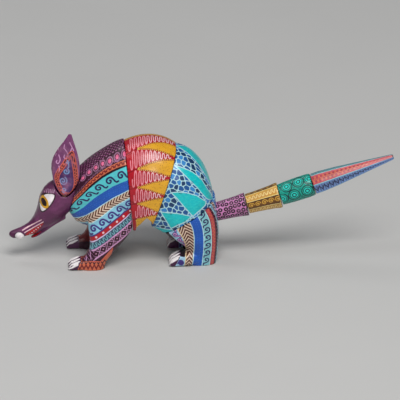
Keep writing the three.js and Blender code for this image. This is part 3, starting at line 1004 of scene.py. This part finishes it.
def thigh_x(z, knee_x, knee_z, lean, power):
    """A thigh line leans ever further forward above its knee, and a little below it."""
    above = max(z - knee_z, 0) / 10
    below = max(20 - z, 0)
    return knee_x - lean * above**power - 0.004 * below**2


def round_the_back(x, y):
    """x on the flank, going on as the distance round the back."""
    turn = np.arctan2(np.maximum(x, 0), np.abs(y) - 14)
    return np.where(x > 0, 12 * turn, x)


BACK_BANDS = {"seam": 2.6, "back_sky": 8.6, "back_cream": 14.6, "back_royal": 40}  # mm past "dark"
HAUNCH_INKS = {
    "blue": "hind_blue", "cream": "cream", "royal": "royal", "teal": "hind_teal",
    "coral": "coral_red", "dark": "maroon", "seam": "sky", "back_sky": "cream",
    "back_cream": "royal",
}
HAUNCH_RULES = {
    "blue": "ice", "cream": "cream_warm", "royal": "ice", "teal": "ice", "coral": "ice",
    "dark": "maroon_deep", "seam": "ice", "back_sky": "ice", "back_cream": "ice",
}


def paint_stripes(zones):
    """The motif of each upright stripe."""
    blue = zones["blue"]
    off = repeats(blue.u, -blue.v, wave_scroll(1.9, 6.2, 1.2), 6.2, 2.0)
    blue.draw("under", 0.95 - off, "violet", margin=0.3)
    blue.draw("over", 0.32 - off, "lattice", margin=0.5)
    for name in ("cream", "back_sky"):
        braid = zones[name]
        braid.draw("under", chevrons(braid.u, braid.v, 3.0, 1.15, 1.2), "brown", margin=0.35)
    paint_ripples(zones["royal"], 0.34)
    for name, size in (("teal", 2.45), ("seam", 2.3)):
        scroll = zones[name]
        off = repeats(scroll.u, scroll.v, wave_scroll(size, 6.6, 1.1), 6.6, 1.5)
        scroll.draw("under", 0.52 - off, "navy", margin=0.2)
    coral = zones["coral"]
    coral.draw("over", zigzag(coral.u, coral.v, 2.7, 1.0, 0.55), "salmon", margin=0.3)
    coral.draw("under", 0.5 - np.abs(coral.inside - 0.2), "brick")
    dark = zones["dark"]
    dark.draw("over", dots(dark.u, dark.v, 3.0, 0.5), "mauve")
    back = zones["back_cream"]
    first, _, _ = scattered(back.u, back.v, 4.2, 0.15, 5)
    back.draw("under", 0.36 - np.abs(first - 1.2), "sky", margin=0.8)


def paint_hindquarters(skin):
    """Upright stripes over the thigh, going on round the back."""
    canvas = Canvas(skin, "maroon")
    x, y, z = skin.x, skin.y, skin.z
    a = round_the_back(x, y)
    lines = {}
    for name, (*bend, top) in THIGH_LINES.items():
        places = [(thigh_x(h, *bend), h) for h in np.linspace(top, 4, 6)]
        turned = [(h, float(round_the_back(px, flank_y(skin, px, h)))) for px, h in places]
        lines[name] = line_through(turned)
    for name, past in BACK_BANDS.items():
        lines[name] = shifted(lines["dark"], past)
    names = list(lines)
    zones = {n: band(canvas, z, a, lines[n], lines[m]) for n, m in zip(names[:-1], names[1:])}
    fill_bands(zones, HAUNCH_INKS)
    paint_stripes(zones)
    for name, ink in HAUNCH_RULES.items():
        draw_rule(canvas, z, a, lines[name], 0.34, ink)

    # In front of the stripes the shin and instep stay dark, and the inner sides are deep maroon as
    # painted shade between the legs.
    canvas.wipe(np.flatnonzero(a < lines["blue"](z) - 0.3), "maroon_deep")
    shaded_inner = (skin.facing_out < 0.05) & (z < 40) & (x < 10) & (np.abs(y) < 22)
    canvas.wipe(np.flatnonzero(shaded_inner), "maroon_deep")
    foot = patch(canvas, x, z, [(-26, -2), (-24.5, 3.5), (-19, 8.2), (-14.4, 8.0), (-14.4, -2)])
    foot.fill("hind_blue", grow=0.4)
    arch = [(-21, 8.6), (-19, 13.5), (-15.4, 17.2), (-13.3, 12.5), (-14.2, 8.2)]
    instep = patch(canvas, x, z, arch)
    canvas.wipe(instep.at[instep.inside > 0])
    instep.fill("maroon_deep")
    off = off_path(foot.u + 17.4, foot.v - 3.4, curl(2.3, 1.4))
    foot.draw("under", 0.9 - off, "violet", margin=0.3)
    paint_claws(canvas, skin, -18.6, 18.5, 10.4, slope=0.5)
    canvas.finish(painted("haunch", mottle=0.12))


# ---- head and ears -----------------------------------------------------------------------
IRIS = (-122.6, 50.0)  # middle of the iris, as x and z
IRIS_TILT = math.radians(-18)
FANG, FANG_RADII = (-141.8, 4.0, 19.8), (3.6, 2.4, 3.1)
NOSTRIL = (-148.4, 1.8, 20.6)


def paint_eye(canvas, face, bridge):
    """A leaf of white round a golden iris, with lashes. `bridge` keeps the two eyes apart."""
    leaf = [(-114.5, 56.5), (-121.5, 56), (-126, 50), (-124.5, 42.5), (-118.5, 48)]
    white = in_shape(face.u, face.v, flowing(leaf, 8, closed=True))
    white = np.minimum(white, bridge)
    face.draw("field", white + 0.7, "pupil")
    face.draw("under", white - 0.25, "white")
    face.raise_by(white, 0.3, 2.0)
    along, up = face.u - IRIS[0], face.v - IRIS[1]
    across = along * math.cos(IRIS_TILT) - up * math.sin(IRIS_TILT)
    down = along * math.sin(IRIS_TILT) + up * math.cos(IRIS_TILT)

    def oval(wide, tall):
        return np.minimum((1 - np.hypot(across / wide, down / tall)) * wide, bridge)

    rim = oval(3.8, 5.2)
    face.draw("under", np.minimum(rim, white + 0.2), "iris_edge")
    face.draw("over", np.minimum(oval(3.3, 4.7), white), "iris")
    face.raise_by(np.minimum(rim, white), 0.4, 1.0)
    pupil = oval(1.9, 2.9)
    near = pupil > -0.6
    spot = face.at[near]
    canvas.inks["over"][spot] = np.where(pupil[near][:, None] > 0, INK["pupil"], INK["iris"])
    depth = canvas.depth["over"]
    depth[spot] = np.maximum(depth[spot], 0.5)
    for lash in range(7):
        root = (-123.4 + 1.35 * lash, 56.6 + 0.22 * lash)
        tip = (root[0] - 0.9 + 0.24 * lash, root[1] + 2.2)
        line = 0.26 - off_path(face.u, face.v, [root, tip])
        face.draw("over", np.minimum(line, bridge - 0.6), "mauve_pale")


def paint_mouth(face):
    """Two lip stripes over a red mouth with a row of teeth."""
    for right, rise in ((0, 0), (1.5, -1.6)):
        lip = [(-139.5 + right, 24.5 + rise), (-132.3 + right, 29.4 + rise),
               (-125 + right, 35 + rise)]
        face.draw("over", 0.36 - off_path(face.u, face.v, flowing(lip, 6)), "pink_pale")
    mouth = [(-137, 21.5), (-133.5, 18), (-129.5, 22), (-123.5, 32), (-128.5, 28.5)]
    lips = in_shape(face.u, face.v, flowing(mouth, 5, closed=True))
    face.draw("field", lips + 0.5, "brick")
    face.draw("under", lips - 0.1, "lip_red")
    for tooth in np.linspace((-133.8, 21.4), (-125.8, 29.4), 6):
        face.draw("over", 0.5 - np.hypot(face.u - tooth[0], face.v - tooth[1]), "white")


def paint_snout(canvas, skin):
    """White fangs, the red floor of the mouth, and the nostrils."""
    x, y, z = skin.x, np.abs(skin.y), skin.z
    shares = [((at - middle) / radius) ** 2
              for at, middle, radius in zip((x, y, z), FANG, FANG_RADII)]
    tooth = Zone(canvas, x, z, (1 - np.sqrt(sum(shares))) * 3)
    tooth.draw("over", tooth.inside, "white")
    tooth.draw("under", tooth.inside + 0.7, "plum_dark")
    floor = (z < 24) & (y < 3.6) & (x > -136) & (x < -118) & (skin.normals[:, 2] > 0.2)
    canvas.ground[floor] = INK["lip_red"]
    nose = np.hypot(x - NOSTRIL[0], np.hypot(y - NOSTRIL[1], z - NOSTRIL[2]))
    nostril = Zone(canvas, x, z, 1.0 - nose)
    nostril.draw("over", nostril.inside - 0.2, "maroon_deep")


def paint_head(skin):
    """Plum head with a painted eye, lip stripes, a red mouth with teeth, and white fangs."""
    canvas = Canvas(skin, "plum")
    outside = np.where(skin.facing_out > -0.2, FAR_OFF, -FAR_OFF)
    face = Zone(canvas, skin.x, skin.z, outside)
    paint_eye(canvas, face, np.abs(skin.y)[face.at] - 3.2)
    paint_mouth(face)
    paint_snout(canvas, skin)
    canvas.finish(painted("plum_head", mottle=0.26, tint_share=0.35))


EAR_CURLS = (  # middle x and z, radius, turns and start angle, from the top down
    (-104.5, 82.5, 1.3, 1.0, 90), (-105.5, 75.5, 2.5, 1.35, 60), (-108, 68, 3.3, 1.6, 60),
    (-107, 61, 2.0, 1.2, -90),
)
EAR_STROKES = (  # pale brush strokes towards the tip, as x and z points
    [(-102.5, 98.5), (-100.5, 94.5), (-99.5, 92.5)],
    [(-107, 94), (-104.5, 90.5), (-104, 87.5), (-105.5, 85.5), (-107, 86.5), (-106.5, 88.5)],
    [(-111, 88.5), (-110, 84.5), (-111.5, 81.5), (-113, 82.5), (-112.5, 84)],
    [(-111, 79.5), (-110.5, 77), (-111, 75)],
    [(-106.5, 96.5), (-107, 93.5)],
    [(-102, 91.5), (-101, 94)],
)


def paint_ear(skin, name):
    """Plum ear with lilac scrolls, and a coral-edged panel with blue curls on its outer face."""
    canvas = Canvas(skin, "plum_ear")
    x, z = skin.x, skin.z
    face = Zone(canvas, x, z, np.where(skin.facing_out > -0.05, FAR_OFF, -FAR_OFF))
    panel = [(-100, 92), (-109, 81), (-114.5, 70), (-109, 57), (-100, 56.5), (-96, 68)]
    rim = in_shape(face.u, face.v, flowing(panel, 8, closed=True))
    face.draw("field", rim, "maroon")
    face.draw("under", np.minimum(rim - 3.3, 0.3), "plum_blue")
    around = np.arctan2(face.v - 71, face.u + 106) * 11
    border = zigzag(around, rim - 1.8, 2.7, 0.7, 0.75)
    face.draw("over", np.minimum(border, 1.5 - np.abs(rim - 1.8)), "coral")
    face.draw("over", 0.42 - np.abs(rim - 3.3), "coral")
    face.draw("over", 0.42 - np.abs(rim - 0.3), "coral")
    for cu, cv, radius, turns, start in EAR_CURLS:
        off = off_path(face.u - cu, face.v - cv, curl(radius, turns, start))
        face.draw("over", 0.42 - off, "ear_blue")
        face.draw("under", 1.0 - off, "ear_blue_dark")
    stem = flowing([(-104.0, 84.2), (-103.4, 79.6), (-104.4, 77.8)], 5)
    face.draw("over", 0.4 - off_path(face.u, face.v, stem), "ear_blue")
    # the strip behind the panel
    strip = flowing([(-96.4, 86), (-95.4, 77), (-95.8, 68), (-98.6, 60.5)], 6)
    face.draw("over", 0.3 - np.abs(off_path(face.u, face.v, strip) - 0.7), "mauve")
    both = whole(canvas, x, z)
    for path in EAR_STROKES:
        off = off_path(both.u, both.v, flowing(path, 5))
        both.draw("over", 0.36 - off, "lattice")
    canvas.finish(painted(name, mottle=0.24, tint="mauve", tint_share=0.7))


# ---- tail --------------------------------------------------------------------------------
TAIL_JOINTS = [(10, 35), (35.4, 41.4), (61.2, 48.5), (87, 57.1), (149.3, 78.6)]


class Tail:
    """Places on one length of tail: s along it, the radius, and the angle from its top
    towards the animal's left, in degrees."""

    def __init__(self, skin, number):
        (ax, az), (bx, bz) = TAIL_JOINTS[number], TAIL_JOINTS[number + 1]
        self.length = math.hypot(bx - ax, bz - az)
        self.way = np.array([(bx - ax), 0, (bz - az)]) / self.length
        self.up = np.array([-self.way[2], 0, self.way[0]])
        self.root = np.array([ax, 0, az])
        self.skin = skin
        self.measure()

    def measure(self):
        off = self.skin.points - self.root
        self.s = off @ self.way
        self.high = off @ self.up
        self.left = -off[:, 1]
        self.radius = np.hypot(self.high, self.left)
        self.angle = np.degrees(np.arctan2(self.left, self.high))

    def flatten(self, sides, phase):
        """Planes flats along the outside; `phase` is the angle of one ridge."""
        profile = np.zeros(int(self.length) + 4)
        for i in range(len(profile)):
            ring = np.abs(self.s - i + 1) < 1.2
            profile[i] = self.radius[ring].max() if ring.any() else 0
        outer = np.interp(self.s + 1, np.arange(len(profile)), profile)
        sweep = 360 / sides
        within = np.radians(wrapped(self.angle - phase - sweep / 2, sweep))
        flat = math.cos(math.radians(sweep / 2)) / np.cos(within)
        share = np.clip((self.radius / outer - 0.55) / 0.3, 0, 1)
        scale = 1 + share * (1.035 * flat - 1)
        points = self.skin.points - self.root
        core = np.outer(self.s, self.way)
        self.skin.points = self.root + core + (points - core) * scale[:, None]
        self.skin.apply()
        self.measure()


def shaded_ends(canvas, tail):
    """The flat ends of a length of tail are painted dark maroon, as painted shade in the narrow gaps
    between the lengths.
    """
    ends = np.abs(tail.skin.normals @ tail.way) > 0.8
    ends &= (tail.s < 0.9) | (tail.s > tail.length - 0.9)
    canvas.wipe(ends, "maroon_deep")


def paint_tail_1(skin):
    """Dark rings and spots on lilac pink."""
    canvas = Canvas(skin, "orchid")
    tail = Tail(skin, 0)
    arc = np.radians(tail.angle) * 8.2
    zone = whole(canvas, tail.s, arc)
    first, second, _ = scattered(zone.u, zone.v, 3.75, 0.14, 11)
    ring = np.minimum(1.75 - first, (second - first) / 2 - 0.2)
    zone.draw("under", ring, "maroon_deep")
    zone.draw("over", 0.6 - first, "orchid")
    ends = np.minimum(zone.u, tail.length - zone.u)
    zone.draw("under", 0.7 - ends, "plum_dark")
    shaded_ends(canvas, tail)
    canvas.finish(painted("pink_tail", mottle=0.12, tint="mauve", tint_share=0.45))


def paint_tail_2(skin):
    """Gold flats with a squiggle, and brown flats with gold curls, in turn."""
    canvas = Canvas(skin, "gold")
    tail = Tail(skin, 1)
    tail.flatten(8, 17.5)
    for flat in range(8):
        centre = 40 + 45 * flat
        off = np.radians(wrapped(tail.angle - centre, 360)) * 8.9
        half = math.radians(22.5) * 8.9
        zone = Zone(canvas, tail.s, off, half - np.abs(off))
        if flat % 2:
            zone.lay("bronze")
            turn = repeats(zone.u - 3.4, zone.v, curl(2.35, 1.55, 0, core=0.05), 5.3)
            zone.draw("under", 0.34 - turn, "gold")
            zone.draw("under", 0.28 - np.abs(np.abs(zone.v) - half + 0.55), "brown_dark")
        else:
            zone.fill("gold")
            path = meander_path(-1.5, 4.5, 3.0, level(0), level(1.5), 0.2)
            turn = off_path(wrapped(zone.u, 3.0), zone.v, path)
            zone.draw("under", 0.38 - turn, "gold_light", margin=0.5)
            zone.draw("under", 0.25 - np.abs(turn - 0.75), "tan", margin=0.6)
        zone.draw("over", 0.3 - np.abs(zone.inside), "gold_light")
    ends = np.minimum(tail.s, tail.length - tail.s)
    rim = Zone(canvas, tail.s, tail.angle, 1.2 - ends)
    rim.draw("over", rim.inside - 0.5, "cream_warm")
    shaded_ends(canvas, tail)
    canvas.finish(painted("gold_tail", mottle=0.12))


def paint_tail_3(skin):
    """Bright rings within rings on dark green."""
    canvas = Canvas(skin, "jade")
    tail = Tail(skin, 2)
    arc = np.radians(tail.angle) * 9.1
    zone = whole(canvas, tail.s, arc)
    first, _, _ = scattered(zone.u - 2.0, zone.v - 1.0, 9.6, 0.08, 23)
    rings = ((2.3, 0.4, "jade_pale"), (3.6, 0.34, "jade_light"), (5.2, 0.3, "jade_light"))
    for radius, width, ink in rings:
        zone.draw("over", width - np.abs(first - radius), ink)
        zone.draw("under", width + 0.4 - np.abs(first - radius + 0.4), "jade_dark")
    zone.draw("over", 1.05 - first, "jade_pale")
    ends = np.minimum(zone.u, tail.length - zone.u)
    zone.draw("under", 0.6 - ends, "jade_dark")
    shaded_ends(canvas, tail)
    canvas.finish(painted("green_tail", mottle=0.12, tint="jade_light", tint_share=0.3))


def paint_tail_tip(skin):
    """Six flats that run out to the tip: coral, blue, maroon and teal between pale edges."""
    canvas = Canvas(skin, "coral_red")
    tail = Tail(skin, 3)
    tail.flatten(6, 18)
    wide = np.interp(tail.s, [0, 6.6, 19.8, 36, 52, 66], [8.4, 8.4, 7.4, 5.6, 3.7, 2.1])
    looks = ["coral_red", "periwinkle", "maroon", "coral_red", "periwinkle", "slate"]
    for flat, ink in enumerate(looks):
        centre = 48 + 60 * flat
        off = np.radians(wrapped(tail.angle - centre, 360)) * wide
        half = math.radians(30) * wide
        zone = Zone(canvas, tail.s, off, half - np.abs(off), half)
        if flat % 2:
            zone.lay(ink)
        else:
            zone.fill(ink, grow=0.6)
        tall = np.clip(zone.half - 1.2, 0.3, 3.2)
        if ink == "coral_red":
            wave = zigzag(zone.u, zone.v / tall, 3.3, 0.85, 0.5)
            zone.draw("under", wave * tall, "salmon", margin=0.55)
            zone.draw("under", zigzag(zone.u - 1.65, zone.v / tall, 3.3, 0.85, 0.22) * tall, "brick",
                      margin=0.55)
        elif ink == "periwinkle":
            zone.draw("under", zigzag(zone.u, zone.v / tall, 4.2, 0.7, 0.5) * tall, "navy", margin=0.5)
            zone.draw("under", 0.28 - np.abs(wrapped(zone.u, 2.1) - 0.4), "steel", margin=0.9)
        elif ink == "slate":
            zone.draw("under", zigzag(zone.u, zone.v / tall, 2.6, 0.7, 0.45) * tall, "hind_teal",
                      margin=0.5)
        else:
            zone.draw("under", dots(zone.u, zone.v, 3.0, 0.5), "mauve")
        edge = "hind_teal" if ink != "maroon" else "maroon_deep"
        zone.draw("over", np.clip(zone.half * 0.09, 0.14, 0.34) - np.abs(zone.inside), edge)
    ends = np.flatnonzero(tail.s > tail.length - 0.7)
    canvas.ground[ends] = INK["maroon_deep"]
    shaded_ends(canvas, tail)
    canvas.finish(painted("coral_tail", mottle=0.12))


# ---- stage -------------------------------------------------------------------------------
LIGHT_AIM = (0, 0, 0.04)  # metres, the middle of the body
FLOOR_HALF = 5.0  # metres
FLOOR_Z = -0.0002  # just under the soles
SENSOR = 36  # mm
VIEW_WIDTH = 0.312  # metres across the picture, at the figure


def make_floor():
    """A wide pale table top."""
    mesh = bpy.data.meshes.new("floor")
    corners = [(-1, -1), (1, -1), (1, 1), (-1, 1)]
    places = [(x * FLOOR_HALF, y * FLOOR_HALF, FLOOR_Z) for x, y in corners]
    mesh.from_pydata(places, [], [(0, 1, 2, 3)])
    floor = bpy.data.objects.new("floor", mesh)
    bpy.context.scene.collection.objects.link(floor)
    g = Graph("pale_table")
    tone = g.noise(3, 4, 0.6)
    colour = g.mix(tone, (0.56, 0.56, 0.555, 1), (0.61, 0.61, 0.605, 1))
    mesh.materials.append(g.surface(colour, 0.8, g.noise(40, 3), 0.1, specular=0.2))


def area_light(name, place, size, watts, tone=(1, 1, 1)):
    light = bpy.data.lights.new(name, "AREA")
    light.shape = "DISK"
    light.size = size
    light.energy = watts
    light.color = tone
    lamp = bpy.data.objects.new(name, light)
    lamp.location = place
    way = Vector(LIGHT_AIM) - Vector(place)
    lamp.rotation_euler = way.to_track_quat("-Z", "Y").to_euler()
    bpy.context.scene.collection.objects.link(lamp)


def make_lights():
    area_light("key", (0.3, -2.0, 3.0), 2.2, 98.0, tone=(1, 0.985, 0.96))
    area_light("window", (0.2, -2.4, 0.95), 0.4, 5.5)
    area_light("fill", (-1.3, -0.2, 1.6), 0.9, 5.0, tone=(0.95, 0.98, 1))
    area_light("back", (-0.8, 1.6, 2.4), 1.2, 8.0)
    world = bpy.data.worlds.new("studio")
    world.use_nodes = True
    sky = world.node_tree.nodes["Background"]
    sky.inputs["Color"].default_value = (0.9, 0.93, 1.0, 1)
    sky.inputs["Strength"].default_value = 0.1
    bpy.context.scene.world = world


def make_camera():
    """A long lens from the animal's left, 22 degrees above the table."""
    azimuth, elevation, distance = math.radians(-3), math.radians(22), 6.0
    aim = Vector((-0.3, 15.8, 39.0)) * MM
    back = Vector((math.sin(azimuth) * math.cos(elevation),
                   -math.cos(azimuth) * math.cos(elevation), math.sin(elevation)))
    lens = bpy.data.cameras.new("camera")
    lens.sensor_width = SENSOR
    lens.lens = SENSOR * distance / VIEW_WIDTH
    lens.clip_start, lens.clip_end = 1, 30
    camera = bpy.data.objects.new("camera", lens)
    camera.location = aim + back * distance
    camera.rotation_euler = (-back).to_track_quat("-Z", "Y").to_euler()
    bpy.context.scene.collection.objects.link(camera)
    bpy.context.scene.camera = camera


def calm_toes(points):
    """Less smoothing low down, where the toes are thin."""
    return np.clip((points[:, 2] - 2) / 14, 0.35, 1)


def build():
    make_camera()
    make_lights()
    make_floor()
    paint_head(Skin("head", "body", "plum_paint", passes=40))
    paint_forequarters(Skin("forequarters", "body", "shoulder_paint", passes=60, hold=calm_toes))
    paint_middle_shell(Skin("middle_shell", "body", "sun_shell_paint", passes=70, shrink=True))
    paint_rear_shell(Skin("rear_shell", "body", "sea_shell_paint", passes=70, shrink=True))
    paint_hindquarters(Skin("hindquarters", "body", "haunch_paint", passes=60, hold=calm_toes))
    for side in ("left", "right"):
        ear = Skin(f"{side}_ear", f"{side}_ear_leaf", "ear_paint", 30, FINE_VOXEL)
        paint_ear(ear, f"{side}_ear_paint")
    for node, slot, painter in (
        ("tail_segment_1", "pink_tail_paint", paint_tail_1),
        ("tail_segment_2", "gold_tail_paint", paint_tail_2),
        ("tail_segment_3", "green_tail_paint", paint_tail_3),
        ("tail_tip", "coral_tail_paint", paint_tail_tip),
    ):
        painter(Skin(node, "tail", slot, 40, FINE_VOXEL))
    wood = bare_wood("peg_wood")
    for name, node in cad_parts.items():
        if "peg" in name or "dowel" in name:
            for place in node.material_slots:
                place.material = wood


bpy.context.scene.view_settings.view_transform = "Standard"
build()
